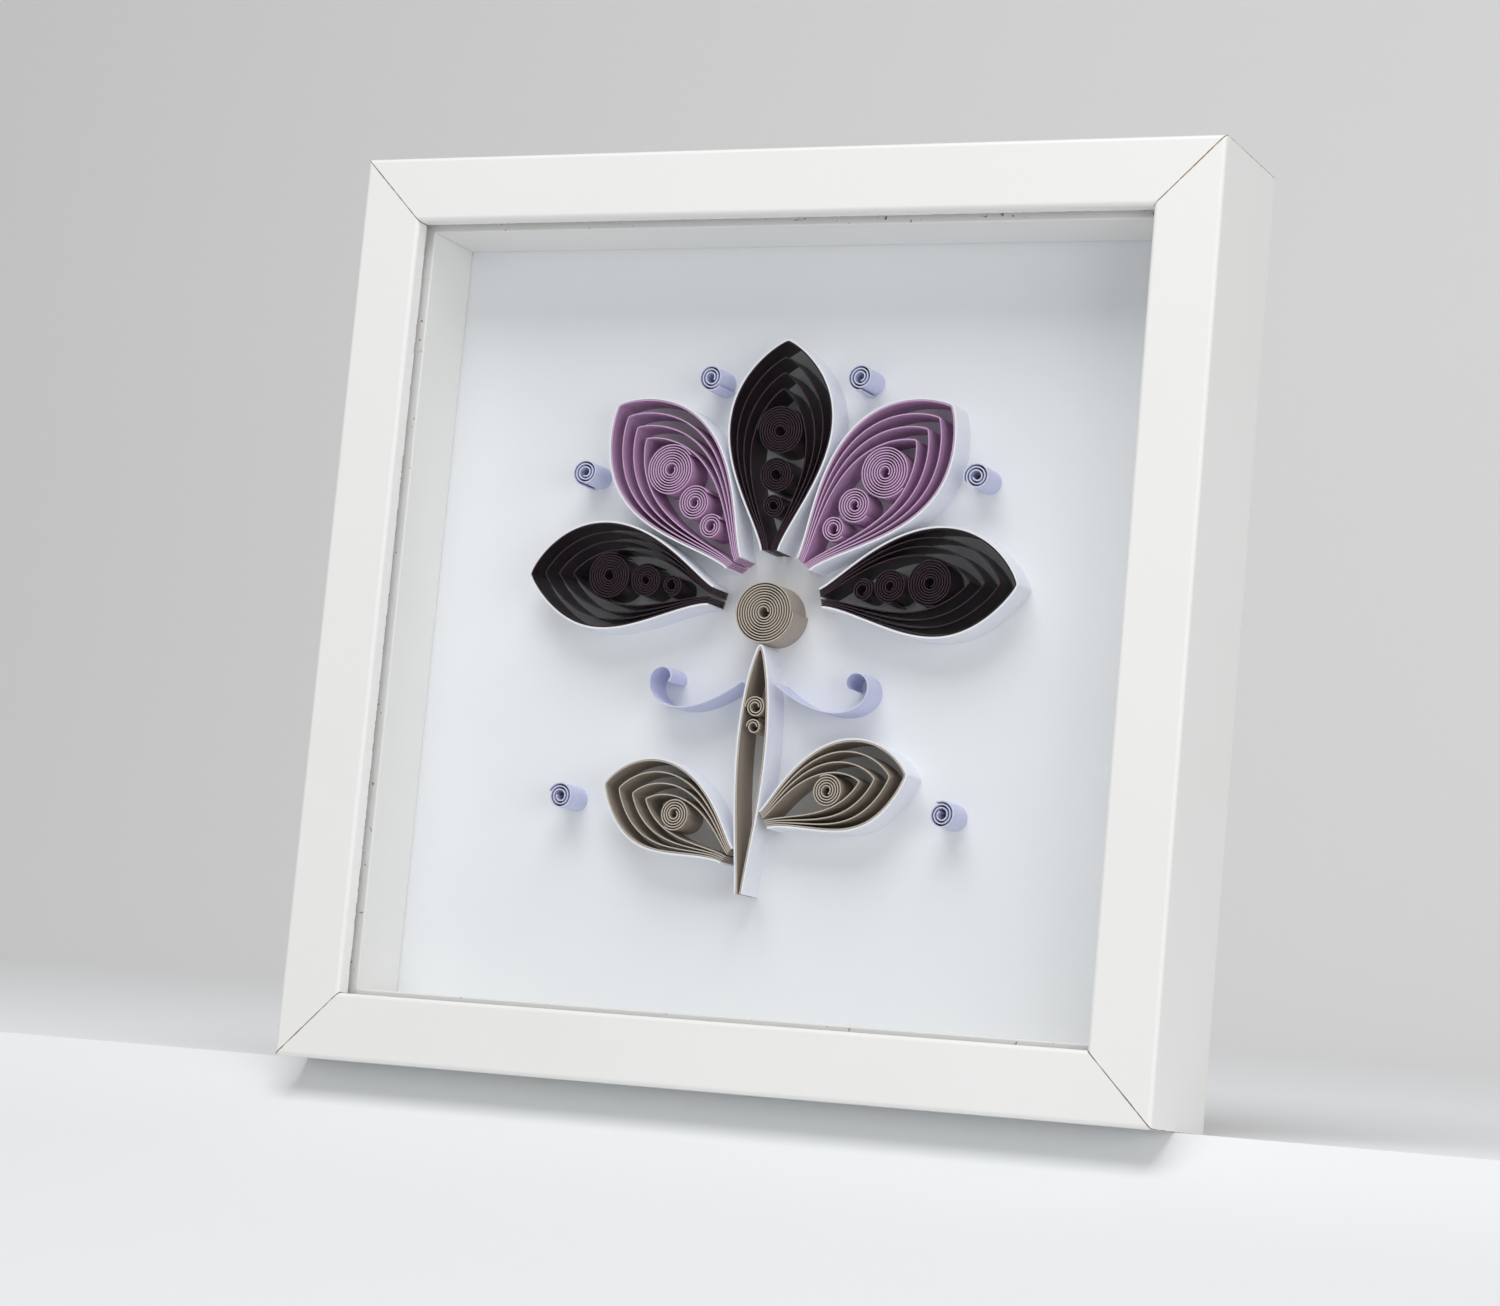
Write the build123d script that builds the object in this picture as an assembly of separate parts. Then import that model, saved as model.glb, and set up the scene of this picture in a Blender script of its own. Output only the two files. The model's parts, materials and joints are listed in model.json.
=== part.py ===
from build123d import *
import os
from math import cos, hypot, pi, radians, sin, sqrt, tan

# Framed quilled paper art: a deep box frame that stands on its bottom face.
# Millimetres. X to the right, Y from the front to the back, Z up.
# Origin: centre of the box on the plane that the frame stands on.

# ---- driving sizes: frame ----
outer = 250.0            # width and height over the mouldings
depth = 42.0             # front face to back face
face_width = 18.0        # front face of a moulding
wall = 14.0              # thickness of a moulding behind its lip
lip_thick = 5.0          # front lip that the glass rests on
glass_thick = 2.0
spacer_height = 22.0     # glass to card
spacer_thick = 5.2
card_thick = 1.5
back_board_thick = 3.0
edge_round = 1.2         # soft edges of the wrapped mouldings
small_round = 0.5
pane_clear = 0.5         # glass, card and board to the rabbet, each side
fit_clear = 0.1          # glued or pushed-in faces

# ---- driving sizes: fastenings ----
nail_thick = 0.5
nail_leg = 6.0
nail_tall = 10.0
nail_inset = 3.5         # outer face of a moulding to the nail's end
tab_wide = 8.0
tab_thick = 0.5
tab_bedded = 6.0
tab_showing = 11.0
tabs_per_side = 2
plate_long = 40.0
plate_wide = 10.0
plate_thick = 1.0
plate_sunk = 1.0         # back face to the plate, so that the screw heads stay inside
hang_hole = 7.0
hang_pocket = 4.5        # depth behind the plate
screw_span = 30.0
screw_shank = 2.0
screw_long = 9.0
screw_head = 4.2
screw_head_tall = 0.8

# ---- driving sizes: paper ----
strip_tall = 10.0        # quilled strips stand on edge on the card
paper = 0.3
rim_paper = 0.5
glue_gap = 0.12
coil_pitch = 0.72
loose_pitch = 0.85
coil_core = 1.1          # radius of the first half turn

# ---- driving sizes: flower ----
flower_up = 3.0          # hub above the middle of the window
hub_radius = 8.6
belly = 1.35             # how slowly a loop widens from its root
pinch = 0.85             # how sharply it closes at its tip
root_step = 0.5          # between strips that are pinched together at a root
petal_apart = 38.0       # degrees from one petal's axis to the next
petal_root = 9.0         # root to the first coil
petal_crown = 4.6        # last coil to the tip of the innermost loop
petal_loops = 4
loop_step_side = 1.9
loop_step_tip = 4.3
leaf_root = 15.0
leaf_crown = 5.0
leaf_loops = 4
leaf_radius = 4.4
stem_long = 66.0
stem_crown = 13.0
stem_radii = (2.2, 3.0)
tendril_long = 44.0
tendril_drop = 19.0      # below the hub
dot_radius = 3.75

# Each petal: name, place from the upright one, coil radii from root to tip, bend in degrees.
petals = (
    ("petal_top", 0, (3.3, 5.0, 6.8), 0.0),
    ("petal_inner", 1, (3.5, 4.8, 7.1), 8.0),
    ("petal_outer", 2, (3.1, 4.7, 6.4), 18.0),
)
# Each leaf: side, height of its root above the stem's foot, angle from upright, bend.
leaves = (
    ("left", -1, 10.0, 52.0, 26.0),
    ("right", 1, 20.0, 58.0, 26.0),
)
# Loose coils on each side of the flower: angle about the hub, distance from it.
dots = ((19.0, 67.5), (57.0, 68.5), (133.0, 76.0))

# ---- derived places ----
window = outer - 2 * face_width
y_front = -depth / 2
y_glass = y_front + lip_thick
y_spacer = y_glass + glass_thick
y_card = y_spacer + spacer_height
y_board = y_card + card_thick
y_tabs = y_board + back_board_thick
y_back = depth / 2
z_mid = outer / 2
rabbet = outer - 2 * wall
pane = rabbet - 2 * pane_clear
rim_out = rim_paper + paper / 2 + glue_gap   # middle of a loop to the outside of its rim


def block(x0, x1, y0, y1, z0, z1):
    size = Vector(x1 - x0, y1 - y0, z1 - z0)
    return Pos(x0, y0, z0) * Box(*size, align=(Align.MIN, Align.MIN, Align.MIN))


def about_middle(shape, turn):
    """Turns a bottom piece about the frame's middle: 90 right, 180 top, 270 left."""
    middle = Pos(0, 0, z_mid)
    return middle * Rot(0, -turn, 0) * middle.inverse() * shape


def save(name, shape):
    solids = [solid for solid in shape.solids()]
    body = solids[0] if len(solids) == 1 else Compound(children=solids)
    body.label = name
    export_step(body, f"parts/{name}.step")


# ---- the frame ----

def mitre_wedge(long_side, near, far, y0, y1, gap):
    """A trapezium prism whose slanted ends lie on the mitres, near and far from the middle."""
    half = long_side / 2 - gap
    drop = far - near
    outline = Polyline(
        (-half, near), (half, near), (half - drop, far), (-half + drop, far), close=True
    )
    prism = extrude(Plane.XZ * make_face(outline), amount=y1 - y0)
    return Pos(0, y1, 0) * prism


def moulding_section():
    """Section of the bottom moulding in the Y-Z plane: wall with a front lip, edges eased."""
    outline = Polyline(
        (y_front, 0), (y_back, 0), (y_back, wall), (y_glass, wall),
        (y_glass, face_width), (y_front, face_width), close=True,
    )
    section = make_face(outline)
    across, up = Axis.X, Axis.Y
    section = fillet(section.vertices().group_by(across)[0], edge_round)
    section = fillet(section.vertices().sort_by(up)[:2].sort_by(across)[-1], small_round)
    return Plane.YZ * section


def v_nail(grow=0.0):
    """Nail across the bottom left mitre: two legs at a right angle that meet on the joint."""
    apex = nail_inset + nail_leg
    half = nail_thick / 2 + grow
    x0 = -outer / 2
    top = y_back - small_round - nail_tall - grow
    end = y_back + 1 if grow else y_back - small_round
    near = nail_inset - grow
    far = apex + half
    along_x = block(x0 + near, x0 + far, top, end, apex - half, apex + half)
    along_z = block(x0 + apex - half, x0 + apex + half, top, end, near, far)
    return along_x + along_z


def tab_places():
    step = rabbet / tabs_per_side
    return [(i + 0.5) * step - rabbet / 2 for i in range(tabs_per_side)]


def tab(x, grow=0.0):
    """Flat steel tab of the bottom moulding, half bedded in the wall, half over the board."""
    half = tab_wide / 2 + grow
    y0 = y_tabs + fit_clear
    body = block(x - half, x + half, y0 - grow, y0 + tab_thick + grow,
                 wall - tab_bedded - grow, wall + tab_showing)
    if not grow:
        ends = body.edges().filter_by(Axis.Y).group_by(Axis.Z)[-1]
        body = fillet(ends, tab_wide / 3)
    return body


def hanger_cut():
    """Pocket in the back of the top moulding for the plate, the wall screw and two screws."""
    z = outer - wall / 2
    half = plate_wide / 2 + fit_clear
    recess = block(-plate_long / 2 - fit_clear, plate_long / 2 + fit_clear,
                   y_back - plate_sunk - plate_thick, y_back + 1, z - half, z + half)
    pocket_deep = plate_sunk + plate_thick + hang_pocket
    slot = SlotOverall(hang_hole * 2, hang_hole)
    pocket = extrude(Plane((0, y_back, z), (1, 0, 0), (0, -1, 0)) * slot, amount=pocket_deep)
    cut = recess + pocket
    for x in (-screw_span / 2, screw_span / 2):
        cut += round_bar(x, z, screw_shank / 2, y_back - plate_sunk - plate_thick - screw_long,
                         y_back)
    return cut


def round_bar(x, z, radius, y0, y1):
    bar = Cylinder(radius, y1 - y0, align=(Align.CENTER, Align.CENTER, Align.MIN))
    return Pos(x, y0, z) * Rot(-90, 0, 0) * bar


def make_mouldings():
    bar = extrude(moulding_section(), amount=outer / 2, both=True)
    keep = mitre_wedge(outer, 0, face_width, y_front - 1, y_back + 1, fit_clear / 2)
    plain = bar & keep
    for x in tab_places():
        plain -= tab(x, fit_clear / 2)
    nail_slot = v_nail(fit_clear / 2)
    for turn in (0, 90):
        plain -= about_middle(nail_slot, turn)
    names = {"bottom": 0, "right": 90, "top": 180, "left": 270}
    for name, turn in names.items():
        moulding = about_middle(plain, turn)
        if name == "top":
            moulding -= hanger_cut()
        save(f"frame_{name}", moulding)


def make_spacers():
    near = wall + pane_clear
    wedge = mitre_wedge(outer - 2 * near, near, near + spacer_thick,
                        y_spacer + fit_clear / 2, y_card - fit_clear / 2, fit_clear / 2)
    long_edges = wedge.edges().filter_by(Axis.X).group_by(Axis.Z)[-1]
    strip = fillet(long_edges, small_round)
    for name, turn in {"bottom": 0, "right": 90, "top": 180, "left": 270}.items():
        save(f"spacer_{name}", about_middle(strip, turn))


def make_panes():
    low = z_mid - pane / 2
    high = z_mid + pane / 2
    half = pane / 2
    slack = fit_clear / 2
    save("glass_pane", block(-half, half, y_glass + slack, y_spacer - slack, low, high))
    save("backing_card", block(-half, half, y_card, y_board - slack, low, high))
    save("back_board", block(-half, half, y_board + slack, y_tabs, low, high))


def make_fastenings():
    nails = [about_middle(v_nail(), turn) for turn in (0, 90, 180, 270)]
    save("corner_v_nails", Compound(children=nails))
    tabs = [about_middle(tab(x), turn) for turn in (0, 90, 180, 270) for x in tab_places()]
    save("retaining_tabs", Compound(children=tabs))
    z = outer - wall / 2
    y_plate = y_back - plate_sunk
    plate = block(-plate_long / 2, plate_long / 2, y_plate - plate_thick, y_plate,
                  z - plate_wide / 2, z + plate_wide / 2)
    plate = fillet(plate.edges().filter_by(Axis.Y), plate_wide / 4)
    plate -= round_bar(0, z, hang_hole / 2, y_plate - plate_thick - 1, y_plate + 1)
    screws = []
    for x in (-screw_span / 2, screw_span / 2):
        slack = fit_clear / 2
        plate -= round_bar(x, z, screw_shank / 2 + slack, y_plate - 2 * plate_thick, y_plate + 1)
        shank = round_bar(x, z, screw_shank / 2 - slack, y_plate - plate_thick - screw_long + 1,
                          y_plate)
        head = round_bar(x, z, screw_head / 2, y_plate, y_plate + screw_head_tall)
        head = fillet(head.edges().sort_by(Axis.Y)[-1], screw_head_tall / 3)
        screws.append(shank + head)
    save("hanger_plate", plate)
    save("hanger_screws", Compound(children=screws))


# ---- the paper ----
# Paths are lists of (x, z) points about the middle of the window.

def on_card(point):
    return Vector(point[0], y_card, z_mid + point[1])


def stand(edges):
    """Closes a strip's outline and stands it on the card."""
    return Solid.extrude(Face(Wire(edges)), Vector(0, -strip_tall, 0))


def normals(path):
    last = len(path) - 1
    result = []
    for i in range(last + 1):
        (x0, z0), (x1, z1) = path[max(i - 1, 0)], path[min(i + 1, last)]
        length = sqrt((x1 - x0) ** 2 + (z1 - z0) ** 2)
        result.append(((z0 - z1) / length, (x1 - x0) / length))
    return result


def beside(path, distance):
    """The path that runs a distance to the left of another."""
    shifted = zip(path, normals(path))
    return [(x + nx * distance, z + nz * distance) for (x, z), (nx, nz) in shifted]


def ribbon(path, thick=paper):
    """A strip of paper that stands on edge along a smooth path."""
    left = [on_card(p) for p in beside(path, thick / 2)]
    right = [on_card(p) for p in beside(path, -thick / 2)]
    return stand([
        Edge.make_spline(left),
        Edge.make_line(left[-1], right[-1]),
        Edge.make_spline(right[::-1]),
        Edge.make_line(right[0], left[0]),
    ])


def coil(centre, radius, pitch=coil_pitch, start=0.0, hand=1):
    """A loose spiral: half turns whose centres alternate, so each turn lies a pitch outside."""
    last = radius - paper / 2 - pitch / 4
    halves = int((last - coil_core) / (pitch / 2)) + 1

    def chain(offset):
        arcs = []
        for i in range(halves):
            r = last - (halves - 1 - i) * pitch / 2 + offset
            side = 1 if i % 2 == 0 else -1
            x = -side * pitch / 4
            local = [(x + side * r, 0), (x, side * hand * r), (x - side * r, 0)]
            arcs.append([on_card(turned(p, centre, start)) for p in local])
        return arcs

    inside, outside = chain(-paper / 2), chain(paper / 2)
    arcs = [Edge.make_three_point_arc(*points) for points in inside + outside]
    inner_end = Edge.make_line(inside[0][0], outside[0][0])
    outer_end = Edge.make_line(inside[-1][2], outside[-1][2])
    return stand(arcs + [inner_end, outer_end])


def turned(point, centre, angle):
    """Turns a local point clockwise from upright by an angle and moves it to a centre."""
    x, z = point
    c, s = cos(radians(angle)), sin(radians(angle))
    return (centre[0] + x * c + z * s, centre[1] - x * s + z * c)


def bent(point, length, bend):
    """Bends a local point along a curved axis that turns by bend degrees over its length."""
    u, v = point
    if bend == 0:
        return point
    radius = length / radians(bend)
    angle = v / radius
    return (radius - (radius - u) * cos(angle), (radius - u) * sin(angle))


def swell(share):
    """Half width of a loop at a share of its length, as a part of its largest."""
    widest = belly / (belly + pinch)
    largest = widest ** belly * (1 - widest) ** pinch
    return share ** belly * (1 - share) ** pinch / largest


def teardrop(length, half_width, root, samples=56):
    """A strip that leaves its root, widens, and comes back over a softly pinched tip."""
    points = []
    for i in range(samples + 1):
        angle = pi * i / samples
        share = sin(angle) ** 2
        side = 1 if 2 * i < samples else -1
        across = side * half_width * swell(share) + root * cos(angle)
        points.append((across, length * share))
    return points


def stack_up(start, radii):
    """Heights of coils that stand one on another above a root."""
    heights = []
    top = start
    for radius in radii:
        heights.append(top + radius)
        top += 2 * radius + glue_gap
    return heights


def snug_width(length, root, heights, radii):
    """Half width of the loop that just clears its coils."""
    width = max(radii)
    for _ in range(12):
        path = teardrop(length, width, root)
        tight = 0
        for height, radius in zip(heights, radii):
            room = min(hypot(x, z - height) for x, z in path)
            tight = max(tight, (radius + paper / 2 + glue_gap) / room)
        width *= tight
    return width


def husk(start, crown, radii, loops):
    """Nested loops about a row of coils: loop paths from inside out, and the coil heights."""
    heights = stack_up(start, radii)
    length = heights[-1] + radii[-1] + crown
    width = snug_width(length, root_step, heights, radii)
    paths = []
    for k in range(loops):
        root = (k + 1) * root_step
        paths.append(teardrop(length + k * loop_step_tip, width + k * loop_step_side, root))
    return paths, heights


def shaped(point, length, bend, base, angle, side):
    """Bends a local point, turns it about its root, and mirrors it for the left side."""
    x, z = turned(bent(point, length, bend), (0, 0), angle)
    return (base[0] + side * x, base[1] + z)


def make_husk(name, parts, base, angle, bend, side, radii, pitch=coil_pitch):
    """Rim, loops and coils of one petal or leaf; a rim is a white strip glued round it."""
    paths, heights = parts
    length = max(z for _, z in paths[-1])

    def put(point):
        return shaped(point, length, bend, base, angle, side)

    loops = [ribbon([put(p) for p in path]) for path in paths]
    save(f"{name}_loops", Compound(children=loops))
    rim = beside([put(p) for p in paths[-1]], side * (rim_paper / 2 - rim_out))
    save(f"{name}_rim", ribbon(rim, rim_paper))
    sizes = ("small", "middle", "large")[-len(radii):] if len(radii) > 1 else ("",)
    for height, radius, size in zip(heights, radii, sizes):
        label = f"{name}_coil_{size}" if size else f"{name}_coil"
        save(label, coil(put((0, height)), radius, pitch, angle * side, side))


def fan_radius(paths):
    """Distance of the roots from the hub at which neighbouring petals just clear."""
    reach = rim_out + glue_gap
    spread = tan(radians(petal_apart / 2))
    return max((abs(x) + reach) / spread - z for x, z in paths[-1])


def make_flower():
    hub = (0, flower_up)
    husks = [husk(petal_root, petal_crown, radii, petal_loops) for _, _, radii, _ in petals]
    out = max(fan_radius(paths) for paths, _ in husks)
    for (name, place, radii, bend), parts in zip(petals, husks):
        angle = place * petal_apart
        base = (out * sin(radians(angle)), hub[1] + out * cos(radians(angle)))
        if place == 0:
            make_husk(name, parts, base, angle, bend, 1, radii)
            continue
        for word, side in (("left", -1), ("right", 1)):
            make_husk(f"{name}_{word}", parts, (side * base[0], base[1]), angle, bend, side,
                      radii)
    save("hub_coil", coil(hub, hub_radius))


def make_stem():
    top = flower_up - hub_radius - rim_out - glue_gap
    root = (0, top - stem_long)
    free = stem_long - stem_crown - 2 * sum(stem_radii) - glue_gap * len(stem_radii)
    parts = husk(free, stem_crown, stem_radii, 1)
    make_husk("stem", parts, root, 0, 0, 1, stem_radii)
    leaf = husk(leaf_root, leaf_crown, (leaf_radius,), leaf_loops)
    leaf_foot = leaf_loops * root_step + rim_out + glue_gap
    for word, side, height, angle, bend in leaves:
        near = [abs(x) for x, z in parts[0][0] if abs(z - height) < leaf_foot]
        away = max(near) + rim_out + 2 * glue_gap + leaf_foot * cos(radians(angle))
        make_husk(f"leaf_{word}", leaf, (side * away, root[1] + height), angle, bend, side,
                  (leaf_radius,))
    stem_half = max(x for x, _ in parts[0][0]) + rim_out
    for word, side in (("left", -1), ("right", 1)):
        start = (stem_half + glue_gap + paper, flower_up - tendril_drop)
        path = [(side * x, z) for x, z in curl(start, tendril_long)]
        save(f"tendril_{word}", ribbon(path))


def curl(start, length, samples=60):
    """A strip that sweeps out to the side and rolls up at its free end."""
    x, z = start
    step = length / samples
    path = []
    for i in range(samples + 1):
        path.append((x, z))
        share = i / samples
        heading = radians(-38 + 62 * share + 300 * share ** 4)
        x += step * cos(heading)
        z += step * sin(heading)
    return path


def make_dots():
    places = [(side * angle, out) for angle, out in dots for side in (-1, 1)]
    for count, (angle, out) in enumerate(places, start=1):
        centre = turned((0, out), (0, flower_up), angle)
        save(f"loose_coil_{count}", coil(centre, dot_radius, loose_pitch, 40 * count))


os.makedirs("parts", exist_ok=True)
make_mouldings()
make_spacers()
make_panes()
make_fastenings()
make_flower()
make_stem()
make_dots()
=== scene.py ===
"""Framed quilled paper art: finishes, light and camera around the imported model."""
import json
from math import cos, exp, pi, radians, sin, tan

import bpy
from mathutils import Matrix, Vector


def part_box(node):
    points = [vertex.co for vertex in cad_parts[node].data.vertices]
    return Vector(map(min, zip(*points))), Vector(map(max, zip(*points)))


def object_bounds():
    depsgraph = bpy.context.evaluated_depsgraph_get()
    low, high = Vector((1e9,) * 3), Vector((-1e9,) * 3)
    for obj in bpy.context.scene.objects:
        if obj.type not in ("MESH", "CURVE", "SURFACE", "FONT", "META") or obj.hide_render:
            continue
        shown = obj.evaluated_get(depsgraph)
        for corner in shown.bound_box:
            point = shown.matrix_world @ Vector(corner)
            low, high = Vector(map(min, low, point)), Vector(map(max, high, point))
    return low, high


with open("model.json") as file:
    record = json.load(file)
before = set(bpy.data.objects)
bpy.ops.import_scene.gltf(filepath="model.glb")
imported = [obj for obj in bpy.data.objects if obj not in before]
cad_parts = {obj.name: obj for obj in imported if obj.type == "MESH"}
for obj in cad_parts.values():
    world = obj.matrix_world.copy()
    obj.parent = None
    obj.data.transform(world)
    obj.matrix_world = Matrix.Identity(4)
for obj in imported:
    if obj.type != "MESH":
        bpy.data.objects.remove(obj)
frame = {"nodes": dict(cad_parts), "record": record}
nodes = frame["nodes"]
cad_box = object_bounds()
bpy.ops.object.select_all(action="DESELECT")

MM = 0.001
LIP_INSET = 17.4 * MM          # outside of the frame to just short of the lip's inner edge
EMBOSS_GRAIN = 0.6             # millimetres, the foil's embossed texture
EMBOSS_DEPTH = 0.05 * MM

low, high = (Vector(corner) for corner in cad_box)
centre_height = (low.z + high.z) / 2
half_side = (high.x - low.x) / 2
lip_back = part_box("glass_pane")[0].y


# ---- materials ----

def linear(text):
    """An sRGB hex colour as linear RGBA."""
    parts = [int(text[i:i + 2], 16) / 255 for i in (1, 3, 5)]
    return [c / 12.92 if c <= 0.04045 else ((c + 0.055) / 1.055) ** 2.4 for c in parts] + [1.0]


def add(tree, kind, inputs=None, **settings):
    """Adds a node with its settings; inputs gives each socket a value or another's output."""
    made = tree.nodes.new(kind)
    for name, value in settings.items():
        setattr(made, name, value)
    for socket, value in (inputs or {}).items():
        if isinstance(value, bpy.types.NodeSocket):
            tree.links.new(value, made.inputs[socket])
        else:
            made.inputs[socket].default_value = value
    return made


def start(name):
    """A new material with an empty tree, its object coordinates and its output."""
    material = bpy.data.materials.new(name)
    material.use_nodes = True
    tree = material.node_tree
    tree.nodes.clear()
    place = add(tree, "ShaderNodeTexCoord").outputs["Object"]
    output = add(tree, "ShaderNodeOutputMaterial")
    return material, tree, place, output


def per_mm(size):
    """Texture scale at which one feature is about this many millimetres."""
    return 1 / (size * MM)


def foil_emboss(tree, place):
    """Relief of the very fine emboss on white paper foil, as a normal."""
    emboss = add(tree, "ShaderNodeTexNoise",
                 {"Vector": place, "Scale": per_mm(EMBOSS_GRAIN), "Detail": 4.0,
                  "Roughness": 0.55})
    return add(tree, "ShaderNodeBump", {"Height": emboss.outputs["Fac"],
                                        "Strength": 0.12, "Distance": EMBOSS_DEPTH}).outputs[0]


def wrapped_fibreboard():
    """White paper foil wrapped and glued round fibreboard, cut at the mitres.

    The foil is eggshell with a very fine emboss; where a saw cut it, a hairline of brown
    core shows along the mitre and along the back edge of the lip.
    """
    material, tree, place, output = start("white_foil_on_fibreboard")
    xyz = add(tree, "ShaderNodeSeparateXYZ", {0: place}).outputs
    up = add(tree, "ShaderNodeMath", {0: xyz["Z"], 1: centre_height},
             operation="SUBTRACT").outputs[0]
    across = add(tree, "ShaderNodeMath", {0: xyz["X"]}, operation="ABSOLUTE").outputs[0]
    upright = add(tree, "ShaderNodeMath", {0: up}, operation="ABSOLUTE").outputs[0]
    off_mitre = add(tree, "ShaderNodeMath", {0: across, 1: upright}, operation="SUBTRACT")
    off_mitre = add(tree, "ShaderNodeMath", {0: off_mitre.outputs[0]}, operation="ABSOLUTE")
    ragged = add(tree, "ShaderNodeTexNoise",
                 {"Vector": place, "Scale": per_mm(2.2), "Detail": 3.0, "Roughness": 0.6})
    saw_cut = add(tree, "ShaderNodeMapRange",
                  {"Value": ragged.outputs["Fac"], "From Min": 0.35, "From Max": 0.7,
                   "To Min": 0.12 * MM, "To Max": 0.34 * MM})
    at_mitre = add(tree, "ShaderNodeMath", {0: off_mitre.outputs[0], 1: saw_cut.outputs[0]},
                   operation="LESS_THAN").outputs[0]
    inwards = add(tree, "ShaderNodeMath", {0: across, 1: upright}, operation="MAXIMUM")
    in_window = add(tree, "ShaderNodeMath", {0: inwards.outputs[0], 1: half_side - LIP_INSET},
                    operation="LESS_THAN").outputs[0]
    behind = add(tree, "ShaderNodeMapRange",
                 {"Value": ragged.outputs["Fac"], "From Min": 0.4, "From Max": 0.62,
                  "To Min": lip_back + 0.1 * MM, "To Max": lip_back - 0.32 * MM})
    at_back = add(tree, "ShaderNodeMath", {0: xyz["Y"], 1: behind.outputs[0]},
                  operation="GREATER_THAN").outputs[0]
    is_lip = add(tree, "ShaderNodeMath", {0: xyz["Y"], 1: lip_back + 0.05 * MM},
                 operation="LESS_THAN").outputs[0]
    lip_edge = add(tree, "ShaderNodeMath", {0: in_window, 1: at_back}, operation="MULTIPLY")
    lip_edge = add(tree, "ShaderNodeMath", {0: lip_edge.outputs[0], 1: is_lip},
                   operation="MULTIPLY").outputs[0]
    bare = add(tree, "ShaderNodeMath", {0: at_mitre, 1: lip_edge}, operation="MAXIMUM")
    cloud = add(tree, "ShaderNodeTexNoise",
                {"Vector": place, "Scale": per_mm(60), "Detail": 2.0})
    foil = add(tree, "ShaderNodeMix", {"Factor": cloud.outputs["Fac"],
                                       "A": linear("#EDEDEA"), "B": linear("#F1F1EF")},
               data_type="RGBA")
    colour = add(tree, "ShaderNodeMix", {"Factor": bare.outputs[0],
                                         "A": foil.outputs["Result"],
                                         "B": linear("#A08B72")}, data_type="RGBA")
    surface = add(tree, "ShaderNodeBsdfPrincipled",
                  {"Base Color": colour.outputs["Result"], "Roughness": 0.42,
                   "IOR": 1.46, "Normal": foil_emboss(tree, place)})
    tree.links.new(surface.outputs[0], output.inputs[0])
    return material


def spacer_board():
    """The same foil on a thin strip of fibreboard, with a few chips along its front edge."""
    material, tree, place, output = start("white_foil_spacer")
    xyz = add(tree, "ShaderNodeSeparateXYZ", {0: place}).outputs
    chips = add(tree, "ShaderNodeTexNoise",
                {"Vector": place, "Scale": per_mm(1.7), "Detail": 2.0, "Roughness": 0.7})
    near_front = add(tree, "ShaderNodeMapRange",
                     {"Value": xyz["Y"], "From Min": lip_back + 2 * MM,
                      "From Max": lip_back + 3.2 * MM, "To Min": 0.69, "To Max": 0.9})
    bare = add(tree, "ShaderNodeMath",
               {0: chips.outputs["Fac"], 1: near_front.outputs[0]},
               operation="GREATER_THAN").outputs[0]
    colour = add(tree, "ShaderNodeMix", {"Factor": bare, "A": linear("#ECECEA"),
                                         "B": linear("#9C8468")}, data_type="RGBA")
    surface = add(tree, "ShaderNodeBsdfPrincipled",
                  {"Base Color": colour.outputs["Result"], "Roughness": 0.5,
                   "IOR": 1.46, "Normal": foil_emboss(tree, place)})
    tree.links.new(surface.outputs[0], output.inputs[0])
    return material


def quilling_paper(name, face, edge, roughness, fibre=0.35):
    """Coloured paper cut in strips: calendered faces with faint fibres, paler cut edges; the
    edges' pale colour is partly the cut paper's own and partly a painted highlight.
    """
    material, tree, place, output = start(name)
    facing = add(tree, "ShaderNodeTexCoord").outputs["Normal"]
    depthwise = add(tree, "ShaderNodeSeparateXYZ", {0: facing}).outputs["Y"]
    # Surfaces facing the front, the strips' cut edges, take the paler edge colour: partly the
    # cut paper's own paleness, partly a painted highlight where those edges catch the light.
    cut = add(tree, "ShaderNodeMapRange",
              {"Value": depthwise, "From Min": -0.6, "From Max": -0.9,
               "To Min": 0.0, "To Max": 1.0})
    fibres = add(tree, "ShaderNodeTexNoise",
                 {"Vector": place, "Scale": per_mm(0.5), "Detail": 5.0, "Roughness": 0.65})
    mottle = add(tree, "ShaderNodeMapRange",
                 {"Value": fibres.outputs["Fac"], "From Min": 0.3, "From Max": 0.7,
                  "To Min": 0.9, "To Max": 1.08})
    face_or_pale_highlit_edge = add(tree, "ShaderNodeMix", {"Factor": cut.outputs[0], "A": linear(face),
                                        "B": linear(edge)}, data_type="RGBA")
    colour = add(tree, "ShaderNodeVectorMath",
                 {0: face_or_pale_highlit_edge.outputs["Result"], "Scale": mottle.outputs[0]}, operation="SCALE")
    bump = add(tree, "ShaderNodeBump", {"Height": fibres.outputs["Fac"],
                                        "Strength": fibre, "Distance": 0.04 * MM})
    surface = add(tree, "ShaderNodeBsdfPrincipled",
                  {"Base Color": colour.outputs[0], "Roughness": roughness,
                   "IOR": 1.5, "Normal": bump.outputs[0]})
    tree.links.new(surface.outputs[0], output.inputs[0])
    return material


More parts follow.
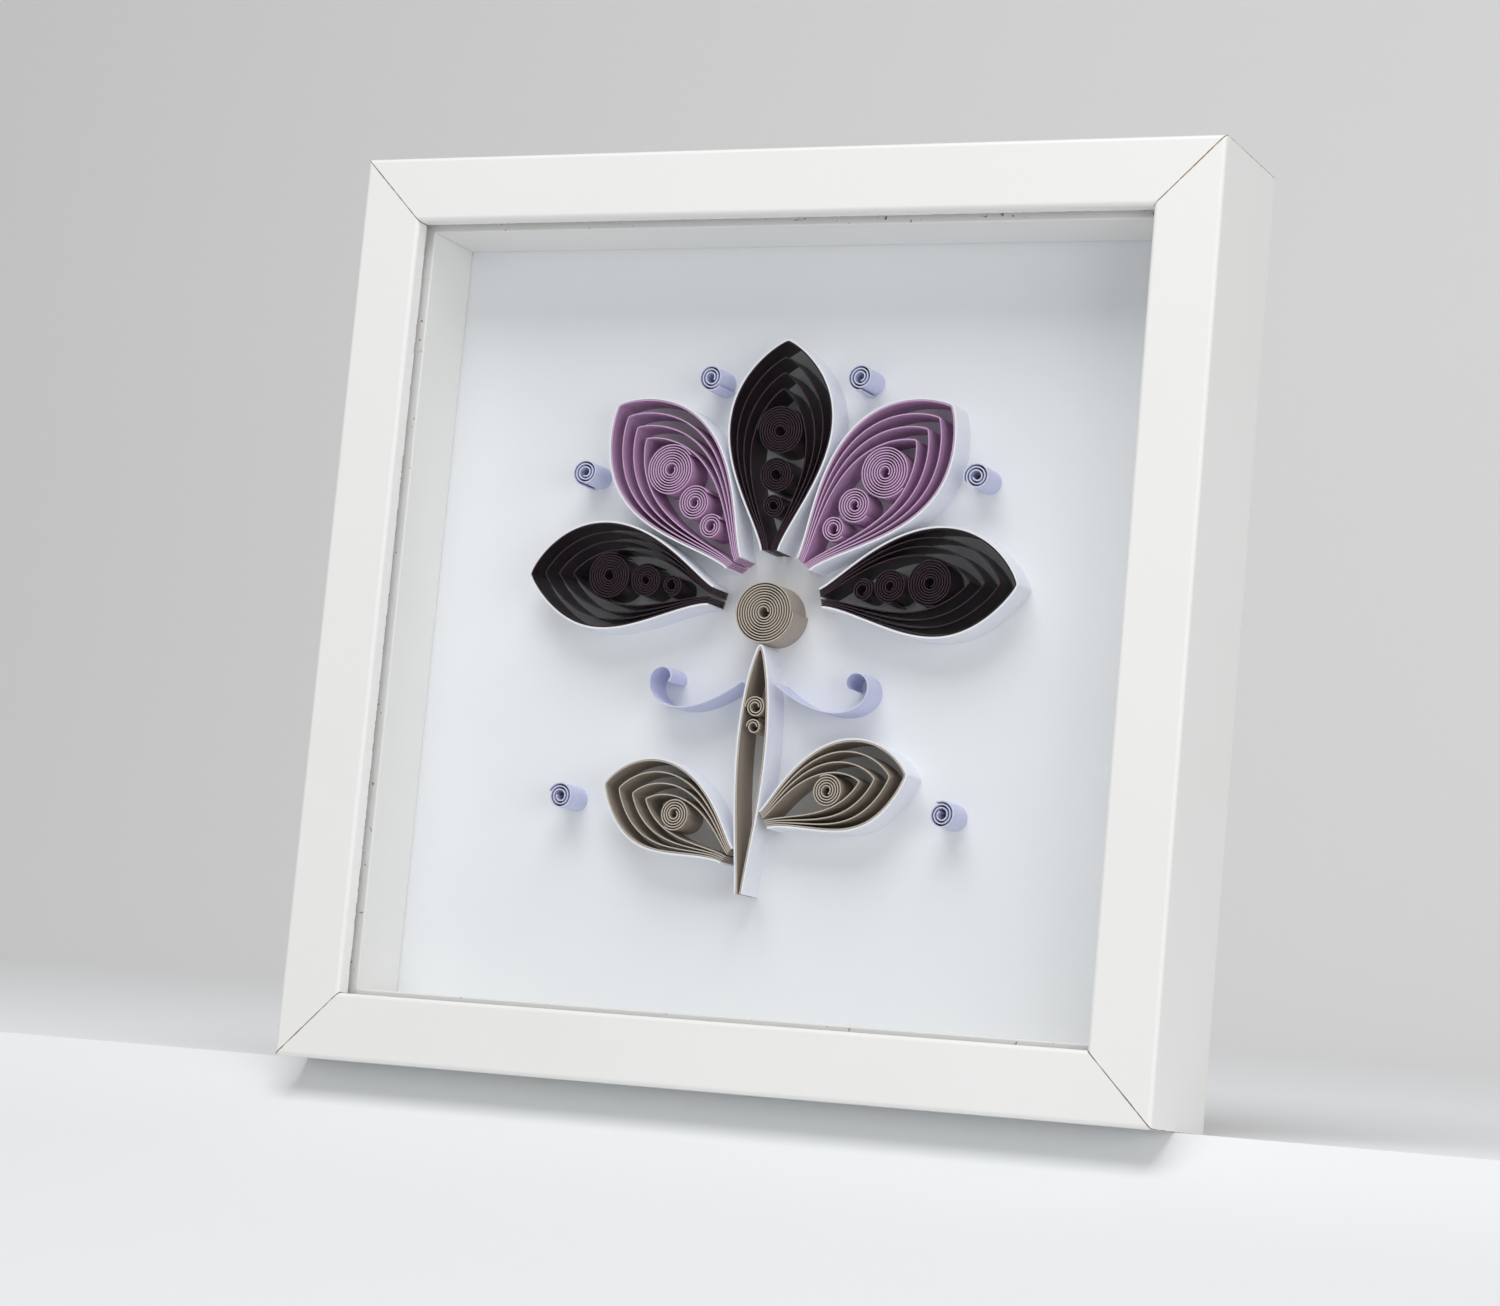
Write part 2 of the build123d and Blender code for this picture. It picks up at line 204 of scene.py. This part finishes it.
def mount_card():
    """Smooth bright card, a little blue, with the faintest clouding of its surface."""
    material, tree, place, output = start("bright_white_card")
    cloud = add(tree, "ShaderNodeTexNoise",
                {"Vector": place, "Scale": per_mm(25), "Detail": 3.0})
    colour = add(tree, "ShaderNodeMix", {"Factor": cloud.outputs["Fac"],
                                         "A": linear("#F0F3F6"), "B": linear("#F4F6F8")},
                 data_type="RGBA")
    tooth = add(tree, "ShaderNodeTexNoise",
                {"Vector": place, "Scale": per_mm(0.4), "Detail": 4.0})
    bump = add(tree, "ShaderNodeBump", {"Height": tooth.outputs["Fac"],
                                        "Strength": 0.15, "Distance": 0.03 * MM})
    surface = add(tree, "ShaderNodeBsdfPrincipled",
                  {"Base Color": colour.outputs["Result"], "Roughness": 0.75,
                   "IOR": 1.45, "Normal": bump.outputs[0]})
    tree.links.new(surface.outputs[0], output.inputs[0])
    return material


def float_glass():
    """Clear coated float glass, seen mostly at its edges.

    Its base is dark, so that what little the pane covers doesn't veil the dark papers.
    """
    material, tree, _, output = start("clear_float_glass")
    surface = add(tree, "ShaderNodeBsdfPrincipled",
                  {"Base Color": linear("#2A332F"), "Roughness": 0.03,
                   "IOR": 1.5, "Alpha": 0.025})
    tree.links.new(surface.outputs[0], output.inputs[0])
    return material


def hardboard():
    """Pressed brown fibreboard: short fibres in every direction, smooth but dull."""
    material, tree, place, output = start("brown_hardboard")
    fibres = add(tree, "ShaderNodeTexNoise",
                 {"Vector": place, "Scale": per_mm(1.2), "Detail": 8.0, "Roughness": 0.7,
                  "Distortion": 1.5})
    cloud = add(tree, "ShaderNodeTexNoise",
                {"Vector": place, "Scale": per_mm(35), "Detail": 3.0})
    grain = add(tree, "ShaderNodeMix", {"Factor": fibres.outputs["Fac"],
                                        "A": linear("#6E4C31"), "B": linear("#A98560")},
                data_type="RGBA")
    colour = add(tree, "ShaderNodeMix", {"Factor": cloud.outputs["Fac"],
                                         "A": grain.outputs["Result"],
                                         "B": linear("#94704E")}, data_type="RGBA")
    bump = add(tree, "ShaderNodeBump", {"Height": fibres.outputs["Fac"],
                                        "Strength": 0.3, "Distance": 0.08 * MM})
    surface = add(tree, "ShaderNodeBsdfPrincipled",
                  {"Base Color": colour.outputs["Result"], "Roughness": 0.62,
                   "Normal": bump.outputs[0]})
    tree.links.new(surface.outputs[0], output.inputs[0])
    return material


def zinc_plate():
    """Bright zinc plating on pressed steel, a little blue, with fine handling marks."""
    material, tree, place, output = start("zinc_plated_steel")
    marks = add(tree, "ShaderNodeTexNoise",
                {"Vector": place, "Scale": per_mm(3), "Detail": 6.0, "Roughness": 0.7})
    rough = add(tree, "ShaderNodeMapRange",
                {"Value": marks.outputs["Fac"], "From Min": 0.3, "From Max": 0.7,
                 "To Min": 0.26, "To Max": 0.44})
    surface = add(tree, "ShaderNodeBsdfPrincipled",
                  {"Base Color": linear("#C9CCD0"), "Metallic": 1.0,
                   "Roughness": rough.outputs[0]})
    tree.links.new(surface.outputs[0], output.inputs[0])
    return material


foil = wrapped_fibreboard()
spacer_foil = spacer_board()
card = mount_card()
glass = float_glass()
board = hardboard()
zinc = zinc_plate()
# Each paper's second colour is its cut edge: paler partly by its own colour, partly as a
# painted highlight.
papers = {
    "paper_plum": quilling_paper("plum_paper", "#2B1723", "#33202C", 0.34),
    "paper_orchid": quilling_paper("orchid_paper", "#C39CC2", "#CDAACD", 0.5),
    "paper_taupe": quilling_paper("taupe_paper", "#A89C90", "#C4B9AC", 0.55),
    "paper_lilac": quilling_paper("lilac_paper", "#C9CCE8", "#D9DBF0", 0.55),
    "paper_white": quilling_paper("white_paper", "#E9EBF3", "#F2F3F7", 0.55),
}
finishes = dict(papers, white_foil_fibreboard=foil, clear_glass=glass, white_card=card,
                brown_fibreboard=board, zinc_steel=zinc)


def finish_cad_nodes():
    """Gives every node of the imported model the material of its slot."""
    slots = {row["node"]: row["material_slot"] for row in frame["record"]["subparts"]}
    for name, piece in nodes.items():
        finish = spacer_foil if name.startswith("spacer_") else finishes[slots[name]]
        piece.data.materials.clear()
        piece.data.materials.append(finish)


finish_cad_nodes()


# ---- floor, light and camera ----

def sweep_paper():
    """Pale seamless paper, painted a little darker and bluer under the frame and brighter up
    the backdrop: a painted gradient of light and shade.
    """
    material, tree, place, output = start("sweep_paper_painted_light_gradient")
    xyz = add(tree, "ShaderNodeSeparateXYZ", {0: place}).outputs
    # Painted light and shade: the colour goes from darker by the frame to brighter up the
    # backdrop, set by distance behind the frame.
    away = add(tree, "ShaderNodeMapRange",
               {"Value": xyz["Y"], "From Min": 0.05, "From Max": 1.3,
                "To Min": 0.0, "To Max": 1.0}, interpolation_type="SMOOTHSTEP")
    colour = add(tree, "ShaderNodeMix", {"Factor": away.outputs[0], "A": linear("#ECEEF0"),
                                         "B": linear("#F6F6F6")}, data_type="RGBA")
    surface = add(tree, "ShaderNodeBsdfDiffuse", {"Color": colour.outputs["Result"]})
    tree.links.new(surface.outputs[0], output.inputs[0])
    return material


def sweep_profile():
    """Points (y, z) of the sweep from front to back.

    It falls away in front of the frame's back edge, rises gently behind it, and bends up
    into a backdrop far enough off to look at the back from in front of it.
    """
    fall, rise = radians(12), radians(3.5)
    drop, drop_run = 16 * MM, 18 * MM
    rest_front, rest_back = -3 * MM, high.y + 4 * MM
    floor_reach, floor_steps = 1.5, 40
    bend, bend_at, bend_steps = 0.5, 0.95, 20
    backdrop_top = 2.6

    profile = []
    for step in range(floor_steps, -1, -1):
        away = floor_reach * (step / floor_steps) ** 3
        sag = drop * (1 - exp(-away / drop_run)) + away * tan(fall)
        profile.append((rest_front - away, -sag))
    foot = (bend_at - rest_back) * tan(rise)
    profile += [(rest_back, 0), (bend_at, foot)]
    for step in range(1, bend_steps + 1):
        turn = rise + step / bend_steps * (pi / 2 - rise)
        profile.append((bend_at + bend * (sin(turn) - sin(rise)),
                        foot + bend * (cos(rise) - cos(turn))))
    profile.append((profile[-1][0], backdrop_top))
    return profile


def make_sweep():
    profile = sweep_profile()
    half_width = 3.0
    points = [(x, y, z) for y, z in profile for x in (-half_width, half_width)]
    faces = [(2 * i, 2 * i + 1, 2 * i + 3, 2 * i + 2) for i in range(len(profile) - 1)]
    mesh = bpy.data.meshes.new("sweep")
    mesh.from_pydata(points, [], faces)
    floor = bpy.data.objects.new("sweep", mesh)
    bpy.context.scene.collection.objects.link(floor)
    floor.data.materials.append(sweep_paper())
    for face in mesh.polygons:
        face.use_smooth = True


def softbox(name, place, aim, size, power):
    """A rectangular area lamp at place, turned towards aim."""
    lamp = bpy.data.lights.new(name, "AREA")
    lamp.shape = "RECTANGLE"
    lamp.size, lamp.size_y = size
    lamp.energy = power
    holder = bpy.data.objects.new(name, lamp)
    holder.location = place
    holder.rotation_euler = (Vector(aim) - Vector(place)).to_track_quat("-Z", "Y").to_euler()
    bpy.context.scene.collection.objects.link(holder)


def make_light():
    middle = (0, 0, centre_height)
    softbox("overhead", (0.1, -0.8, 1.35), middle, (1.2, 1.0), 14)
    softbox("low_right", (1.3, -0.9, 0.1), middle, (1.0, 0.8), 6)
    world = bpy.data.worlds.new("studio")
    world.use_nodes = True
    background = world.node_tree.nodes["Background"]
    background.inputs["Color"].default_value = linear("#FFFFFF")
    background.inputs["Strength"].default_value = 0.42
    bpy.context.scene.world = world


def make_camera():
    """Long lens from the right and a little below the frame, rolled."""
    azimuth, elevation, roll = radians(25.07), radians(7.32), radians(5.23)
    turn = (Matrix.Rotation(azimuth, 4, "Z") @ Matrix.Rotation(pi / 2 + elevation, 4, "X")
            @ Matrix.Rotation(roll, 4, "Z"))
    camera = bpy.data.cameras.new("camera")
    camera.sensor_width = 36.0
    camera.lens = 91.2
    camera.clip_start = 0.01
    holder = bpy.data.objects.new("camera", camera)
    holder.matrix_world = Matrix.Translation((0.4221, -0.9105, -0.0121)) @ turn
    bpy.context.scene.collection.objects.link(holder)
    bpy.context.scene.camera = holder


make_sweep()
make_light()
make_camera()
bpy.context.scene.view_settings.view_transform = "Standard"
